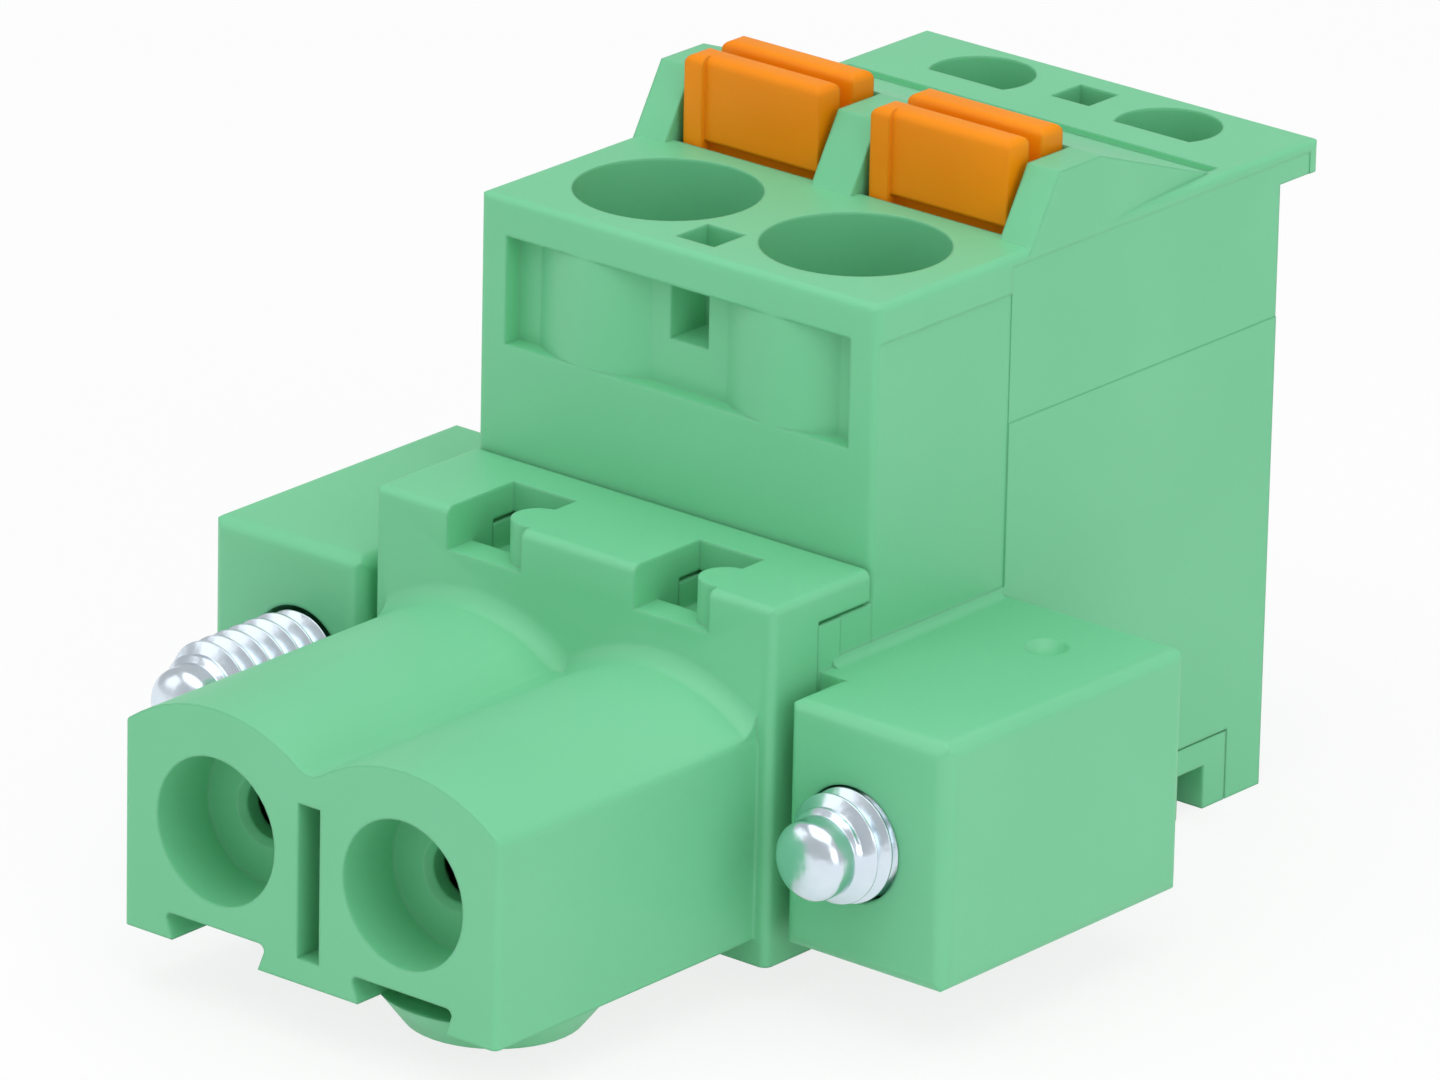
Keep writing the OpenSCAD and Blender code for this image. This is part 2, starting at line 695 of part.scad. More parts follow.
// The chamber of one pole, open below, and the way through to the plug's contact cavity.
module chamber() {
    spigot_half_width = cavity_half_width + spigot_wall + seam;
    spigot_half_height = cavity_half_height + spigot_wall + seam;
    box(-chamber_half_width, chamber_half_width, chamber_front, chamber_rear,
        -axis_height - past, chamber_height);
    box(-spigot_half_width, spigot_half_width, shoulder_rear - past, spigot_rear + seam,
        -spigot_half_height, spigot_half_height);
    box(-cavity_half_width, cavity_half_width, shoulder_rear, chamber_front + past,
        -cavity_half_height, cavity_half_height);
}

// The recess across the front wall, which leaves a round wall about each funnel.
module front_recess() {
    difference() {
        box(-recess_width / 2, recess_width / 2, front_wall - past, front_wall + recess_depth,
            recess_bottom, recess_top);
        at_poles() translate([0, funnel_depth, recess_bottom - past])
            cylinder(r = recess_wall_radius, h = recess_top - recess_bottom + 2 * past, $fn = 96);
    }
    half = pocket_side / 2;
    box(-half, half, pocket_depth - half, pocket_depth + half, window_bottom, deck_height + past);
    box(-half, half, front_wall, pocket_depth, window_bottom, window_top);
}

// Fine steps on the side walls, left where the mould's slides meet.
module side_steps() {
    half = housing_width / 2;
    for (side = [left, right]) mirror([side == left ? 1 : 0, 0, 0]) {
        box(half - side_step, half + past, front_wall - past, step_line_y,
            flange_height + flange_fillet_radius, step_line_top);
        box(half - side_step / 2, half + past, step_line_y - seam, rear_wall + past,
            step_line_mid, deck_height - deck_edge_radius - seam);
    }
}

module main_housing() {
    color(green) difference() {
        union() {
            deck_block();
            ridge();
            front_step();
            lip_bosses();
            for (side = [left, right]) mirror([side == left ? 1 : 0, 0, 0]) flange();
        }
        for (side = [left, right]) mirror([side == left ? 1 : 0, 0, 0]) flange_cuts();
        at_poles() {
            chamber();
            deck_holes();
            latch_notch(tab_bottom - 0.6, tab_bottom - 0.6);
        }
        front_recess();
        side_steps();
        box(-pocket_side / 2, pocket_side / 2, rear_pocket_y - pocket_side / 2,
            rear_pocket_y + pocket_side / 2, deck_height - test_hole_depth, deck_height + past);
        box(-housing_width / 2 - seam, housing_width / 2 + seam, front_wall, cover_rear + seam,
            -axis_height - past, cover_top + seam);
    }
}

// ---------------------------------------------------------------- base cover

// The plate that closes the chambers from below, with a pad for each current bar.
module base_cover() {
    half = housing_width / 2;
    pad_half = chamber_half_width - seam;
    notch_rear = cover_rear - cover_foot_length;
    color(green) difference() {
        union() {
            box(-half, half, cover_front, cover_rear, -axis_height, cover_top);
            at_poles() box(-pad_half, pad_half, chamber_front + seam, chamber_rear - seam,
                           cover_top - seam, pad_top);
        }
        box(-half - past, half + past, notch_rear - cover_notch_length, notch_rear,
            -axis_height - past, cover_notch_depth - axis_height);
    }
}

// ---------------------------------------------------------------- buttons

// A button's two blades seen from the front, with rounded top corners.
module blade_outline() {
    half = button_width / 2;
    r = button_edge_radius;
    z0 = button_height - blade_length - past;
    polygon(with_mirror(concat([[half, z0]],
                               arc([half - r, button_height - r], r, 0, 90, 5),
                               [[0, button_height]])));
}

// Side view of the blade whose front lies at depth y, down to height z0.
module blade_side(y, z0) {
    r = button_edge_radius;
    translate([y, 0]) polygon(concat(
        [[0, z0], [blade_thickness, z0]],
        arc([blade_thickness - r, button_height - r], r, 0, 90, 4),
        arc([r, button_height - r], r, 90, 180, 4)));
}

// Side view of a button: two blades, the stem, which is set back in front below the blade, and
// the slanted foot that presses the spring.
module button_outline() {
    gap_bottom = button_height - blade_length;
    stem_front = button_front + button_recess_depth;
    stem_bottom = collar_top - collar_height;
    mid = (button_front + button_rear) / 2;
    foot_height = leg_height(mid) + foot_clearance;
    foot_front_height = foot_height - (mid - stem_front) * tan(spring_slope);
    blade_side(button_front, deck_height + button_recess_height);
    blade_side(button_rear - blade_thickness, gap_bottom - seam);
    polygon([[stem_front, stem_bottom], [button_rear, stem_bottom], [button_rear, gap_bottom],
             [button_front + blade_thickness, gap_bottom],
             [button_front + blade_thickness, button_height - button_edge_radius],
             [stem_front, button_height - button_edge_radius]]);
    polygon([[stem_front, foot_front_height], [mid, foot_height],
             [mid, collar_top], [stem_front, collar_top]]);
}

// A release button, with a guide rib on its left side and a stop collar below the ceiling.
module button(side) {
    half = button_width / 2;
    foot_half = spring_width / 2 - 0.2;
    stem_bottom = collar_top - collar_height;
    color(orange) translate([side * pole_x, 0, 0]) {
        intersection() {
            union() {
                along_x(-half, half) button_outline();
                along_x(-half, rib_width - half) blade_side(button_front - rib_height, collar_top);
            }
            union() {
                along_y(button_front - past, button_rear + past) blade_outline();
                box(-half, half, button_front - rib_height, button_rear, stem_bottom,
                    button_height - blade_length);
                box(-foot_half, foot_half, button_front, button_rear, -axis_height, collar_top);
            }
        }
        box(-collar_width / 2, collar_width / 2, button_front - rib_height, button_rear,
            stem_bottom, collar_top);
    }
}

// ---------------------------------------------------------------- clamp

// Height of the clamping leg's upper face at depth y.
function leg_height(y) =
    leg_start[1] - (leg_start[0] - y) * tan(spring_slope)
    + spring_thickness / 2 / cos(spring_slope);

// The clamp spring: an upright leg at the rear, a round bend, and the slanted clamping leg.
module clamp_spring(side) {
    t = spring_thickness / 2;
    bend = [spring_bend_y, spring_bend_z];
    tip = [leg_end_y, leg_end_z];
    across = t * [cos(leg_angle), sin(leg_angle)];
    color(spring_steel) translate([side * pole_x, 0, 0])
        along_x(-spring_width / 2, spring_width / 2) polygon(concat(
            [[spring_bend_y + spring_bend_radius - t, spring_foot_z],
             [spring_bend_y + spring_bend_radius + t, spring_foot_z]],
            arc(bend, spring_bend_radius + t, 0, leg_angle, 10),
            [tip + across, tip - across],
            arc(bend, spring_bend_radius - t, leg_angle, 0, 10)));
}

// The current bar: a tray that holds the spring, with a tongue forward to the contact.
module current_bar(side) {
    tray_half = bar_width / 2;
    color(copper) translate([side * pole_x, 0, 0]) {
        along_x(-tray_half, tray_half) polygon([
            [bar_front, bar_bottom], [bar_rear, bar_bottom], [bar_rear, bar_rear_top],
            [bar_rear - bar_thickness, bar_rear_top],
            [bar_rear - bar_thickness, bar_bottom + bar_thickness],
            [bar_front + bar_thickness, bar_bottom + bar_thickness],
            [bar_front + bar_thickness, bar_top], [bar_front, bar_top]]);
        box(-tongue_width / 2, tongue_width / 2, tongue_front, bar_front + seam,
            contact_bottom + contact_thickness, contact_bottom + contact_thickness + bar_thickness);
    }
}

// ---------------------------------------------------------------- contact

// Plan of one contact arm: straight along the box, closing to the pinch, flared at its mouth.
module arm_outline(outer, pinch) {
    t = contact_thickness;
    polygon([[outer, box_rear], [outer - t, box_rear], [outer - t, fork_start],
             [pinch, fork_pinch], [pinch + t, fork_pinch - 0.8], [pinch + 2 * t, fork_pinch - 0.8],
             [pinch + t, fork_pinch], [outer, fork_start]]);
}

// The socket contact: a folded floor, two side walls and two springy arms.
module socket_contact(side) {
    half = contact_width / 2;
    color(copper) translate([side * pole_x, 0, 0]) {
        box(-half, half, fork_pinch, contact_rear, contact_bottom,
            contact_bottom + contact_thickness);
        for (arm = [left, right]) mirror([arm == left ? 1 : 0, 0, 0]) {
            along_z(contact_bottom + 2 * contact_thickness, contact_top)
                arm_outline(half, contact_pinch / 2);
            box(half - contact_thickness, half, fork_start, box_rear, contact_bottom, contact_top);
        }
    }
}

// The steel over-spring: a thin sleeve about the contact's box, with a leaf over each arm.
module over_spring(side) {
    gap = metal_clearance;
    t = over_spring_thickness;
    inner = contact_width / 2 + gap;
    leaf_end = fork_pinch + 0.3;
    leaf_step = (contact_width / 2 - contact_pinch / 2 - contact_thickness)
                * (fork_start - leaf_end) / (fork_start - fork_pinch);
    color(spring_steel) translate([side * pole_x, 0, 0]) {
        along_y(fork_start, box_rear - 0.3) difference() {
            translate([-inner - t, contact_bottom - gap - t])
                square([2 * (inner + t), contact_top - contact_bottom + 2 * (gap + t)]);
            translate([-inner, contact_bottom - gap])
                square([2 * inner, contact_top - contact_bottom + 2 * gap]);
        }
        for (arm = [left, right]) mirror([arm == left ? 1 : 0, 0, 0])
            along_z(contact_bottom + 0.8, contact_top - 0.3)
                polygon([[inner, fork_start + seam], [inner, fork_start],
                         [inner - leaf_step, leaf_end], [inner + t - leaf_step, leaf_end],
                         [inner + t, fork_start], [inner + t, fork_start + seam]]);
    }
}

// ---------------------------------------------------------------- screws

// Half section of a flange screw, from its tip (height 0) to the end of its head: dog point,
// thread, thinner shank, head.
module screw_section() {
    thread = thread_diameter / 2;
    point = point_diameter / 2;
    shank = shank_diameter / 2;
    head = head_diameter / 2;
    full = screw_length + head_length;
    chamfer = 0.25;
    polygon(concat(
        [for (i = [0 : 6]) let (a = 15 * i) [point * sin(a), point_dome * (1 - cos(a))]],
        [[point, point_dome + point_length], [thread, thread_start], [thread, thread_end],
         [shank, shank_start], [shank, screw_length], [head, screw_length],
         [head, full - chamfer], [head - chamfer, full], [0, full]]));
}

// A slotted captive screw lying along the depth, its point towards the plug face.
module flange_screw(side, hang_back) {
    full = screw_length + head_length;
    color(zinc) translate([side * screw_x, screw_tip + hang_back, screw_height])
        rotate([-90, 0, 0]) difference() {
            rotate_extrude() screw_section();
            translate([-head_diameter, -driver_slot_width / 2, full - driver_slot_depth])
                cube([2 * head_diameter, driver_slot_width, driver_slot_depth + past]);
        }
}

// Sets a piece on the standing plane, with the middle of the part's length over the origin.
module place() {
    translate([0, -total_length / 2, axis_height]) children();
}

place() main_housing();
place() plug_housing();
place() base_cover();
place() button(left);  // button_left
place() button(right);  // button_right
place() clamp_spring(left);  // clamp_spring_left
place() clamp_spring(right);  // clamp_spring_right
place() current_bar(left);  // current_bar_left
place() current_bar(right);  // current_bar_right
place() socket_contact(left);  // socket_contact_left
place() socket_contact(right);  // socket_contact_right
place() over_spring(left);  // over_spring_left
place() over_spring(right);  // over_spring_right
place() flange_screw(left, 0);  // flange_screw_left
place() flange_screw(right, screw_float);  // flange_screw_right
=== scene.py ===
import math

import bmesh
import bpy
from mathutils import Matrix, Vector


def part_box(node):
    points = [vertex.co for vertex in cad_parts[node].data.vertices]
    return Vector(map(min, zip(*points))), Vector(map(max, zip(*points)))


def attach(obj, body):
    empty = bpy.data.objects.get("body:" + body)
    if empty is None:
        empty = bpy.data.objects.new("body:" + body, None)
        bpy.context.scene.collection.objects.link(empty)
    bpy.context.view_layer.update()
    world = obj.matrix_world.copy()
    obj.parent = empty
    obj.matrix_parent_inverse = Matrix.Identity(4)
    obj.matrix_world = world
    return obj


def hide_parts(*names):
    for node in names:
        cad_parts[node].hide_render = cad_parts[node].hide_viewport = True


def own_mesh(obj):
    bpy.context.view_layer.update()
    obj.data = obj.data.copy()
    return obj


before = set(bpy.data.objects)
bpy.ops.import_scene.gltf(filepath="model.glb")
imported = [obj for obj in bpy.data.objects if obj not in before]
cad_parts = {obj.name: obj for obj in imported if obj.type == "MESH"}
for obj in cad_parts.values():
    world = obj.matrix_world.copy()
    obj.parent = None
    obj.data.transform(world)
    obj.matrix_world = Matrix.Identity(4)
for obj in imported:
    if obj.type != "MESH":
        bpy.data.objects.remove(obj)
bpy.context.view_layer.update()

MM = 0.001

# ------------------------------------------------------------------ green mouldings
# The tall housing, the plug's nose and the base cover are injection moulded in one green
# polyamide. The faces are satin, the edges carry the mould's small radii, and the colour
# drifts a little where the melt met.

GREEN = (0.150, 0.560, 0.285)
GREEN_PALE = (0.195, 0.625, 0.345)
PLASTIC_IOR = 1.52
SCATTER_DEPTH = 0.35 * MM
MOULD_RADIUS = 0.10 * MM
GRAIN_SIZE = 0.09 * MM
GRAIN_DEPTH = 0.0025 * MM
GRAIN_ROUGHNESS = 0.10
NOISE_ROUGHNESS = 0.55

# Points closer than WELD become one, faces flatter than FLAT_ANGLE merge, and edges sharper than
# SHARP_ANGLE stay sharp.
WELD = 0.0005 * MM
FLAT_ANGLE = math.radians(0.3)
SHARP_ANGLE = math.radians(26)


class Level:
    """A value that varies over a surface. Sums and products with it add Math nodes."""

    def __init__(self, finish, socket):
        self.finish = finish
        self.socket = socket

    def _join(self, operation, first, second):
        return self.finish.node("Math", {"operation": operation}, {0: first, 1: second})

    def __add__(self, other):
        return self._join("ADD", self, other)

    __radd__ = __add__

    def __mul__(self, other):
        return self._join("MULTIPLY", self, other)

    __rmul__ = __mul__


class Finish:
    """A material being made: fixed numbers go on the shader, levels are linked to it."""

    def __init__(self, name, fixed):
        self.material = bpy.data.materials.new(name)
        self.material.use_nodes = True
        self.tree = self.material.node_tree
        self.shader = self.tree.nodes["Principled BSDF"]
        for socket, value in fixed.items():
            self.shader.inputs[socket].default_value = value

    def put(self, socket, value):
        if isinstance(value, Level):
            self.tree.links.new(value.socket, socket)
        else:
            socket.default_value = value

    def node(self, kind, settings=None, values=None, output=0):
        """Adds a shader node and gives back one of its outputs as a level."""
        made = self.tree.nodes.new("ShaderNode" + kind)
        for key, value in (settings or {}).items():
            setattr(made, key, value)
        for key, value in (values or {}).items():
            self.put(made.inputs[key], value)
        return Level(self, made.outputs[output])

    def place(self):
        return self.node("TexCoord", output="Object")

    def noise(self, size, detail):
        """A cloudy level from 0 to 1 whose patches are about size metres across."""
        return self.node("TexNoise", {}, {"Vector": self.place(), "Scale": 1 / size,
                                          "Detail": detail, "Roughness": NOISE_ROUGHNESS})

    def blend(self, factor, first, second):
        """A colour between two others."""
        return self.node("Mix", {"data_type": "RGBA"},
                         {"Factor": factor, 6: first, 7: second}, output=2)

    def use(self, socket, value):
        self.put(self.shader.inputs[socket], value)


def rgba(colour):
    return (*colour, 1)


def soft_edges(finish, radius, height, depth):
    """Rounds the edges by radius in the shading and lays relief of a height over them."""
    rounded = finish.node("Bevel", {"samples": 6}, {"Radius": radius})
    grained = finish.node("Bump", {}, {"Strength": 1, "Distance": depth,
                                       "Height": height, "Normal": rounded})
    finish.use("Normal", grained)


def polyamide(name, colour, pale, patch, roughness, shine, scatter, scatter_reach):
    """Moulded plastic whose colour drifts to a paler one in patches, with a fine grain, and with
    a little light scattered below its skin."""
    finish = Finish(name, {
        "IOR": PLASTIC_IOR, "Specular IOR Level": shine,
        "Subsurface Weight": scatter, "Subsurface Scale": SCATTER_DEPTH,
        "Subsurface Radius": scatter_reach})
    flow = finish.noise(patch, 2)
    grain = finish.noise(GRAIN_SIZE, 3)
    finish.use("Base Color", finish.blend(flow, rgba(colour), rgba(pale)))
    finish.use("Roughness", roughness + GRAIN_ROUGHNESS * grain)
    soft_edges(finish, MOULD_RADIUS, grain, GRAIN_DEPTH)
    return finish.material


def moulding(name, body, material):
    """A moulding's own mesh from its CAD solid: seams closed, flats merged, curves smooth."""
    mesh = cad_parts[name].data.copy()
    work = bmesh.new()
    work.from_mesh(mesh)
    bmesh.ops.remove_doubles(work, verts=work.verts, dist=WELD)
    bmesh.ops.dissolve_limit(work, angle_limit=FLAT_ANGLE, verts=work.verts,
                             edges=work.edges, delimit={"NORMAL"})
    bmesh.ops.recalc_face_normals(work, faces=work.faces)
    work.to_mesh(mesh)
    work.free()
    mesh.materials.clear()
    mesh.materials.append(material)
    if "custom_normal" in mesh.attributes:
        mesh.attributes.remove(mesh.attributes["custom_normal"])
    mesh.shade_smooth()
    mesh.set_sharp_from_angle(angle=SHARP_ANGLE)
    piece = bpy.data.objects.new(name + "_moulding", mesh)
    bpy.context.scene.collection.objects.link(piece)
    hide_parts(name)
    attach(piece, body)
    return piece


green = polyamide("green_polyamide", GREEN, GREEN_PALE, patch=6 * MM, roughness=0.40, shine=0.5,
                  scatter=0.12, scatter_reach=(0.5, 1.0, 0.6))
for shell in ("main_housing", "plug_housing", "base_cover"):
    moulding(shell, "housing", green)

# ------------------------------------------------------------------ release buttons
# Each button is one orange moulding: two thin blades that stand out of the ridge, with the
# driver gap between them, on a stem that slides in its shaft and rests on the clamp spring.

ORANGE = (0.880, 0.245, 0.001)
ORANGE_PALE = (0.950, 0.310, 0.002)

orange = polyamide("orange_polyamide", ORANGE, ORANGE_PALE, patch=2.5 * MM, roughness=0.38,
                   shine=0.2, scatter=0.15, scatter_reach=(1.0, 0.4, 0.1))
for button in ("button_left", "button_right"):
    moulding(button, button, orange)

# ------------------------------------------------------------------ contacts and clamps
# Inside each pole a copper tray holds a bent steel spring, and a folded contact with a steel
# over-spring waits behind the pin hole. All are stamped from strip. A pressed button flattens
# its clamp spring down to the foot that stands on the tray.

COPPER = (0.52, 0.33, 0.17)
STEEL = (0.52, 0.53, 0.55)
STAIN_SIZE = 0.8 * MM
STAIN_SHADE = 0.6
ROLLING_LINES = 9000
ROLLING_STRETCH = (1, 0.05, 1)
ROLLING_ROUGHNESS = 0.15
ROLLING_DEPTH = 0.001 * MM
METAL_RADIUS = 0.04 * MM


def stamped_strip(name, colour, roughness):
    """Bare rolled metal, darker in stained patches and finely streaked along the strip."""
    finish = Finish(name, {"Metallic": 1.0})
    stain = finish.noise(STAIN_SIZE, 4)
    along = finish.node("Mapping", {}, {0: finish.place(), "Scale": ROLLING_STRETCH})
    rolling = finish.node("TexNoise", {}, {"Vector": along, "Scale": ROLLING_LINES, "Detail": 2})
    dark = tuple(STAIN_SHADE * part for part in colour)
    finish.use("Base Color", finish.blend(stain, rgba(dark), rgba(colour)))
    finish.use("Roughness", roughness + ROLLING_ROUGHNESS * rolling)
    soft_edges(finish, METAL_RADIUS, rolling, ROLLING_DEPTH)
    return finish.material


copper = stamped_strip("copper_strip", COPPER, 0.35)
steel = stamped_strip("spring_strip", STEEL, 0.25)
for side in ("left", "right"):
    moulding("current_bar_" + side, "housing", copper)
    moulding("socket_contact_" + side, "housing", copper)
    moulding("over_spring_" + side, "housing", steel)
    clamp = moulding("clamp_spring_" + side, "housing", steel)
    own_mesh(clamp)

# ------------------------------------------------------------------ flange screws
# M2.5 steel screws with a rolled thread in front, a thinner shank that keeps them captive, a
# dog point for a tip and a slotted head. They are plated with blue-white zinc.

ZINC = (0.66, 0.76, 0.86)
ZINC_PALE = (0.82, 0.90, 0.97)
ZINC_ROUGHNESS = 0.16
CLOUD_SIZE = 0.6 * MM
CLOUD_ROUGHNESS = 0.16
DENT_SIZE = 0.30 * MM
DENT_DEPTH = 0.012 * MM

# Distances along a screw are counted from its tip.
THREAD_PITCH = 0.45 * MM
CREST_RADIUS = 1.21 * MM
ROOT_RADIUS = 0.96 * MM
POINT_RADIUS = 0.86 * MM
POINT_DOME = 0.45 * MM
THREAD_FRONT = 0.82 * MM
THREAD_REAR = 4.19 * MM
SHANK_RADIUS = 0.95 * MM
HEAD_RADIUS = 1.90 * MM
HEAD_CHAMFER = 0.25 * MM
HEAD_SEAT = 7.75 * MM
HEAD_END = 9.95 * MM
SLOT_HALF_WIDTH = 0.30 * MM
SLOT_DEPTH = 0.80 * MM
DOME_STEP = 9
AROUND = 72

# Front face of the flanges along y. CREST_LEAD turns the thread, in turns, so that a crest comes
# out of this face near the top.
FLANGE_FACE = -4.935 * MM
CREST_LEAD = 0.38

# One turn of the thread, as (share of the pitch, share of the way from root to crest).
THREAD_FORM = ((0.00, 0.85), (0.04, 1.00), (0.12, 1.00), (0.16, 0.85), (0.30, 0.48),
               (0.44, 0.12), (0.49, 0.00), (0.67, 0.00), (0.72, 0.12), (0.86, 0.48))


def thread_level(share):
    """How far the thread rises above its root, at a share of the pitch."""
    share %= 1
    form = THREAD_FORM + ((1, THREAD_FORM[0][1]),)
    for (low, low_level), (high, high_level) in zip(form, form[1:]):
        if share <= high:
            return low_level + (high_level - low_level) * (share - low) / (high - low)


def thread_radius(along, turned, start):
    """The thread's radius at a distance behind the tip, held inside its two chamfers."""
    rise = (CREST_RADIUS - ROOT_RADIUS) * thread_level((along - start) / THREAD_PITCH - turned)
    return min(ROOT_RADIUS + rise, POINT_RADIUS + along - THREAD_FRONT,
               SHANK_RADIUS + THREAD_REAR - along)


def thread_rows(start):
    """Lines along the helix as (distance, radius) lists; past the thread's ends they are held.
    The thread form's turns are counted from start."""
    turns = range(math.floor((THREAD_FRONT - start) / THREAD_PITCH) - 2,
                  math.ceil((THREAD_REAR - start) / THREAD_PITCH) + 2)
    rows = []
    for lead in [turn + share for turn in turns for share, _ in THREAD_FORM]:
        row = []
        for column in range(AROUND):
            along = start + (lead + column / AROUND) * THREAD_PITCH
            along = min(max(along, THREAD_FRONT), THREAD_REAR)
            row.append((along, thread_radius(along, column / AROUND, start)))
        rows.append(row)
    return rows


def skin(work, rows, tip, advance=0):
    """Covers rows of (distance, radius) about the screw's axis. Where a row closes on itself it
    meets the row that is advance rows further on."""
    spokes = [Vector((math.cos(turn), 0, math.sin(turn)))
              for turn in (math.tau * column / AROUND for column in range(AROUND))]
    made = [[work.verts.new(tip + Vector((0, along, 0)) + radius * spoke)
             for (along, radius), spoke in zip(row, spokes)] for row in rows]
    for index in range(len(made) - 1):
        for column in range(AROUND):
            beside = (column + 1) % AROUND
            step = 0 if beside else advance
            if index + 1 + step < len(made):
                work.faces.new((made[index][column], made[index + step][beside],
                                made[index + 1 + step][beside], made[index + 1][column]))


def cut_slot(piece, tip):
    """Saws the driver slot across the end of the head."""
    saw = bmesh.new()
    bmesh.ops.create_cube(saw, size=2)
    bmesh.ops.scale(saw, verts=saw.verts, vec=(1.5 * HEAD_RADIUS, SLOT_DEPTH, SLOT_HALF_WIDTH))
    bmesh.ops.translate(saw, verts=saw.verts, vec=tip + Vector((0, HEAD_END, 0)))
    blade = bpy.data.meshes.new("slot_saw")
    saw.to_mesh(blade)
    saw.free()
    holder = bpy.data.objects.new("slot_saw", blade)
    bpy.context.scene.collection.objects.link(holder)
    cut = piece.modifiers.new("slot", "BOOLEAN")
    cut.operation, cut.solver, cut.object = "DIFFERENCE", "EXACT", holder
    bpy.context.view_layer.update()
    sawn = piece.evaluated_get(bpy.context.evaluated_depsgraph_get())
    piece.data = bpy.data.meshes.new_from_object(sawn)
    piece.modifiers.clear()
    bpy.data.objects.remove(holder)


def threaded_screw(name, body, material):
    """Builds a screw in the place of its CAD solid: domed point, thread, shank, slotted head."""
    low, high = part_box(name)
    tip = Vector(((low.x + high.x) / 2, low.y, (low.z + high.z) / 2))
    dome = [(POINT_DOME * (1 - math.cos(turn)), POINT_RADIUS * math.sin(turn))
            for turn in (math.radians(step) for step in range(0, 91, DOME_STEP))]
    shaft = [(THREAD_REAR, SHANK_RADIUS), (HEAD_SEAT, SHANK_RADIUS), (HEAD_SEAT, HEAD_RADIUS),
             (HEAD_END - HEAD_CHAMFER, HEAD_RADIUS), (HEAD_END, HEAD_RADIUS - HEAD_CHAMFER),
             (HEAD_END, 0)]
    work = bmesh.new()
    skin(work, [[ring] * AROUND for ring in dome + [(THREAD_FRONT, POINT_RADIUS)]], tip)
    skin(work, [[ring] * AROUND for ring in shaft], tip)
    start = FLANGE_FACE - tip.y - CREST_LEAD * THREAD_PITCH
    skin(work, thread_rows(start), tip, len(THREAD_FORM))
    bmesh.ops.remove_doubles(work, verts=work.verts, dist=WELD)
    bmesh.ops.dissolve_degenerate(work, edges=work.edges, dist=WELD)
    bmesh.ops.recalc_face_normals(work, faces=work.faces)
    mesh = bpy.data.meshes.new(name + "_turned")
    work.to_mesh(mesh)
    work.free()
    mesh.materials.append(material)
    piece = bpy.data.objects.new(name + "_turned", mesh)
    bpy.context.scene.collection.objects.link(piece)
    cut_slot(piece, tip)
    piece.data.shade_smooth()
    piece.data.set_sharp_from_angle(angle=SHARP_ANGLE)
    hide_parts(name)
    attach(piece, body)


def plated_zinc():
    """Bright plating, cloudy and softly dented."""
    finish = Finish("blue_zinc", {"Metallic": 1.0})
    cloud = finish.noise(CLOUD_SIZE, 3)
    dents = finish.noise(DENT_SIZE, 1)
    finish.use("Base Color", finish.blend(cloud, rgba(ZINC), rgba(ZINC_PALE)))
    finish.use("Roughness", ZINC_ROUGHNESS + CLOUD_ROUGHNESS * cloud)
    soft_edges(finish, METAL_RADIUS, dents, DENT_DEPTH)
    return finish.material


zinc = plated_zinc()
for side in ("left", "right"):
    threaded_screw("flange_screw_" + side, "screw_" + side, zinc)

# ------------------------------------------------------------------ studio
# A flat sheet of pale paper under a large soft box, with a weaker one on each side. Paper and
# room look white to the camera, and the paper glows less in reflections.

FLOOR_WIDTH = 1.2
PAPER_GREY = 0.9
PAPER_SEEN = 0.82
PAPER_MIRRORED = 0.55
ROOM_LIGHT = 0.55
LAMP_AIM = Vector((0, 0, 0.006))


def paper(name):
    """Matt paper with a glow of its own that depends on the kind of ray."""
    finish = Finish(name, {"Base Color": rgba((PAPER_GREY,) * 3), "Roughness": 0.9})
    tree = finish.tree
    rays = tree.nodes.new("ShaderNodeLightPath")
    seen = Level(finish, rays.outputs["Is Camera Ray"])
    mirrored = Level(finish, rays.outputs["Is Glossy Ray"])
    glow = tree.nodes.new("ShaderNodeEmission")
    glow.inputs["Strength"].default_value = 1
    mix = tree.nodes.new("ShaderNodeMixShader")
    finish.put(mix.inputs[0], PAPER_SEEN * seen + PAPER_MIRRORED * mirrored)
    tree.links.new(finish.shader.outputs[0], mix.inputs[1])
    tree.links.new(glow.outputs[0], mix.inputs[2])
    tree.links.new(mix.outputs[0], tree.nodes["Material Output"].inputs["Surface"])
    return finish.material


floor_mesh = bpy.data.meshes.new("paper_sweep")
half = FLOOR_WIDTH / 2
floor_mesh.from_pydata([(-half, -half, 0), (half, -half, 0), (half, half, 0), (-half, half, 0)],
                       [], [(0, 1, 2, 3)])
floor_mesh.materials.append(paper("white_paper"))
floor = bpy.data.objects.new("paper_sweep", floor_mesh)
bpy.context.scene.collection.objects.link(floor)

world = bpy.data.worlds.new("room")
bpy.context.scene.world = world
world.use_nodes = True
room = world.node_tree
room_light = room.nodes["Background"]
room_light.inputs["Color"].default_value = (1, 1, 1, 1)
room_light.inputs["Strength"].default_value = ROOM_LIGHT
room_seen = room.nodes.new("ShaderNodeBackground")
room_seen.inputs["Strength"].default_value = 1
rays = room.nodes.new("ShaderNodeLightPath")
pick = room.nodes.new("ShaderNodeMixShader")
room.links.new(rays.outputs["Is Camera Ray"], pick.inputs[0])
room.links.new(room_light.outputs[0], pick.inputs[1])
room.links.new(room_seen.outputs[0], pick.inputs[2])
room.links.new(pick.outputs[0], room.nodes["World Output"].inputs["Surface"])


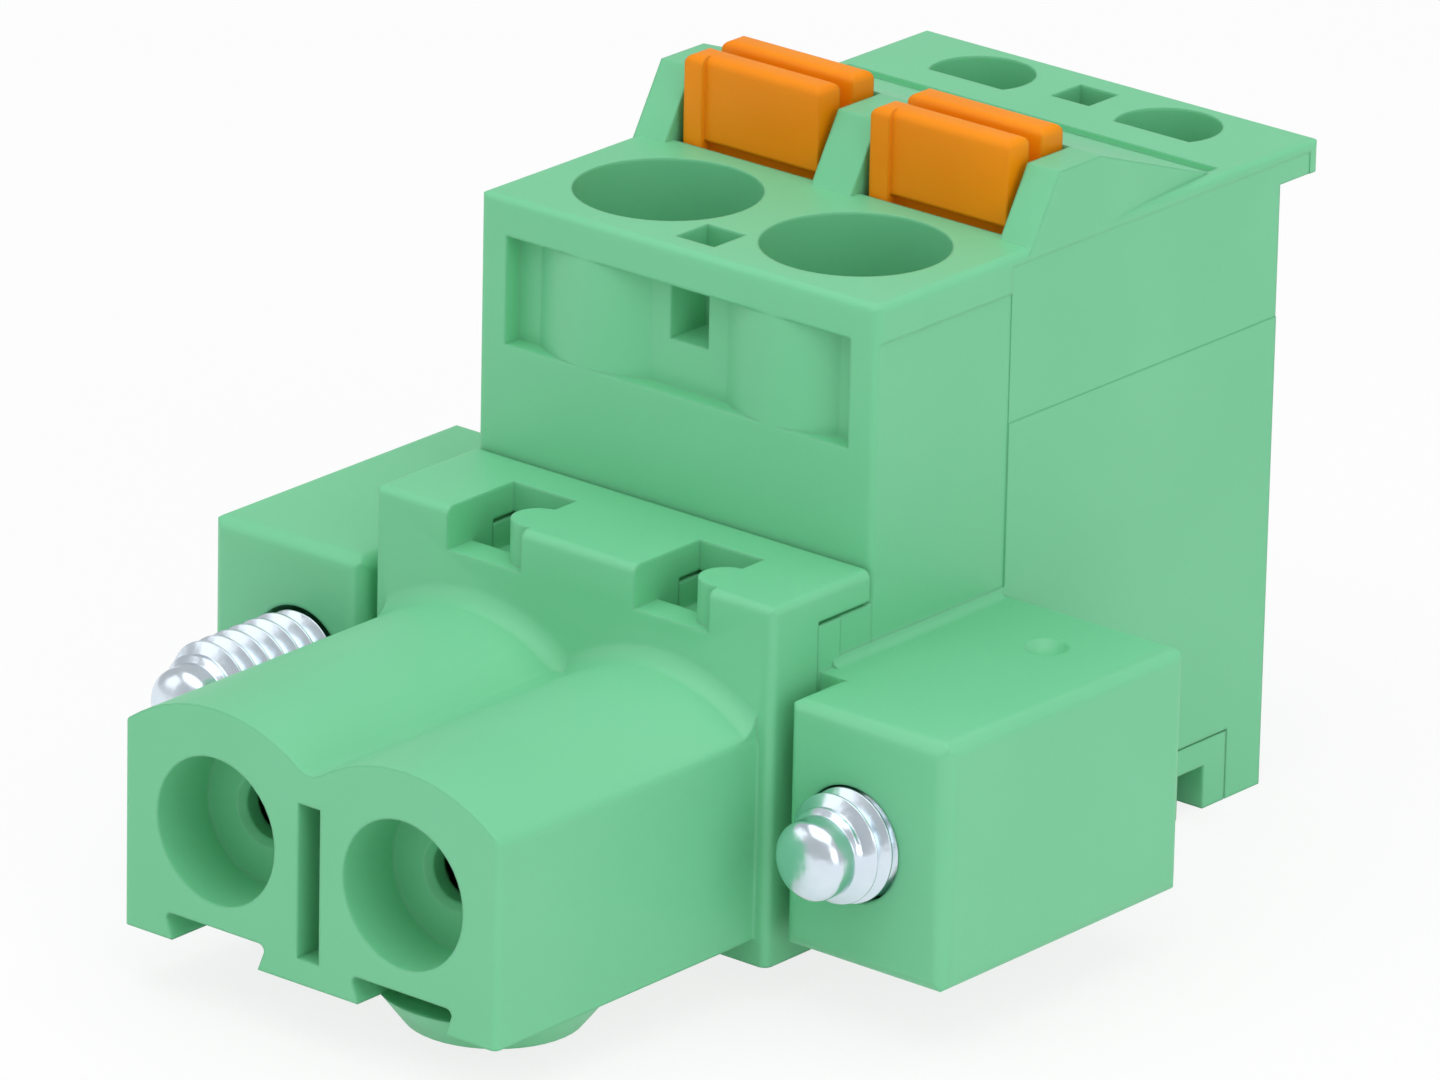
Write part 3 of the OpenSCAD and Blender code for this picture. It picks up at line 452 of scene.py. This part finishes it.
def soft_box_light(name, place, size, power):
    """A rectangular lamp aimed at the middle of the block."""
    lamp = bpy.data.lights.new(name, "AREA")
    lamp.shape = "RECTANGLE"
    lamp.size, lamp.size_y = size
    lamp.energy = power
    holder = bpy.data.objects.new(name, lamp)
    holder.location = Vector(place)
    aim = LAMP_AIM - holder.location
    holder.rotation_euler = aim.to_track_quat("-Z", "Y").to_euler()
    bpy.context.scene.collection.objects.link(holder)


soft_box_light("top_box", place=(0.02, -0.05, 0.30), size=(0.35, 0.35), power=0.55)
soft_box_light("right_box", place=(0.30, -0.10, 0.12), size=(0.22, 0.22), power=0.22)
soft_box_light("left_box", place=(-0.25, -0.20, 0.15), size=(0.2, 0.2), power=0.10)

# ------------------------------------------------------------------ camera
# A long lens looks from the front right and a little above, with a slight roll.

CAMERA_PLACE = Vector((160.51, -195.395, 102.44)) * MM
AZIMUTH = math.radians(39.41)
ELEVATION = math.radians(20.67)
ROLL = math.radians(1.25)
LENS_LENGTH = 322.04
SENSOR_WIDTH = 36
LENS_SHIFT = (-0.00176, 0.01324)
NEAR, FAR = 0.01, 10

back = Vector((math.sin(AZIMUTH) * math.cos(ELEVATION),
               -math.cos(AZIMUTH) * math.cos(ELEVATION), math.sin(ELEVATION)))
level_right = Vector((math.cos(AZIMUTH), math.sin(AZIMUTH), 0))
level_up = back.cross(level_right)
right = level_right * math.cos(ROLL) + level_up * math.sin(ROLL)
up = level_up * math.cos(ROLL) - level_right * math.sin(ROLL)
lens = bpy.data.cameras.new("camera")
lens.sensor_width = SENSOR_WIDTH
lens.lens = LENS_LENGTH
lens.shift_x, lens.shift_y = LENS_SHIFT
lens.clip_start, lens.clip_end = NEAR, FAR
camera = bpy.data.objects.new("camera", lens)
camera.matrix_world = Matrix((
    (right.x, up.x, back.x, CAMERA_PLACE.x), (right.y, up.y, back.y, CAMERA_PLACE.y),
    (right.z, up.z, back.z, CAMERA_PLACE.z), (0, 0, 0, 1)))
bpy.context.scene.collection.objects.link(camera)
bpy.context.scene.camera = camera
bpy.context.scene.view_settings.view_transform = "Standard"
